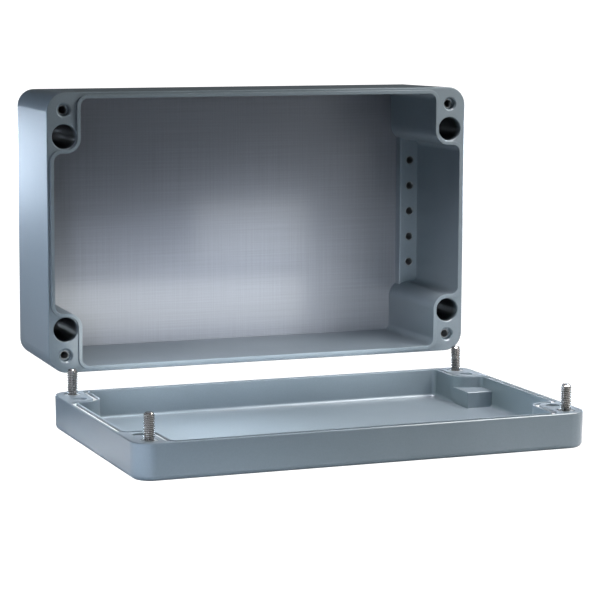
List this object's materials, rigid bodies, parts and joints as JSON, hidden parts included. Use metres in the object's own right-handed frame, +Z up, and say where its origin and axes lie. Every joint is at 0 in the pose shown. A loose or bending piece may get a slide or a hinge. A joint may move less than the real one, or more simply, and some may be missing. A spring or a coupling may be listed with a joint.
{
  "type": "die cast aluminium enclosure",
  "caption": "Open rectangular die-cast enclosure: deep wall-mounted base with corner posts, ledges and raised lip, and its lid with gasket groove and captive screws.",
  "frame": {"origin": "centre of the four wall-mounting holes on the base's back face", "axes": "+Y into the wall, +Z up, +X along the base's long side; the mouth faces -Y"},
  "size_m": [0.26, 0.233, 0.19],
  "materials": {
    "casting": "silver-grey satin paint on die-cast aluminium",
    "screw_steel": "bright stainless",
    "gasket": "matt silicone",
    "ring_plastic": "grey polyamide"
  },
  "bodies": {
    "base": {"base": "casting"},
    "lid": {"lid": "casting", "lid_gasket": "gasket"},
    "screw_rear_left": {"lid_screw_rear_left": "screw_steel", "retaining_ring_rear_left": "ring_plastic"},
    "screw_rear_right": {"lid_screw_rear_right": "screw_steel", "retaining_ring_rear_right": "ring_plastic"},
    "screw_front_left": {"lid_screw_front_left": "screw_steel", "retaining_ring_front_left": "ring_plastic"},
    "screw_front_right": {"lid_screw_front_right": "screw_steel", "retaining_ring_front_right": "ring_plastic"}
  },
  "joints": [
    {"name": "lid_lift", "type": "slide", "parent": "base", "child": "lid", "axis": [0, 0, 1], "range_m": [0, 0.2]},
    {"name": "screw_turn_rear_left", "type": "hinge", "parent": "lid", "child": "screw_rear_left", "pos_m": [-0.12, -0.083, -0.09], "axis": [0, 0, 1], "continuous": true},
    {"name": "screw_turn_rear_right", "type": "hinge", "parent": "lid", "child": "screw_rear_right", "pos_m": [0.12, -0.083, -0.09], "axis": [0, 0, 1], "continuous": true},
    {"name": "screw_turn_front_left", "type": "hinge", "parent": "lid", "child": "screw_front_left", "pos_m": [-0.12, -0.223, -0.09], "axis": [0, 0, 1], "continuous": true},
    {"name": "screw_turn_front_right", "type": "hinge", "parent": "lid", "child": "screw_front_right", "pos_m": [0.12, -0.223, -0.09], "axis": [0, 0, 1], "continuous": true}
  ]
}
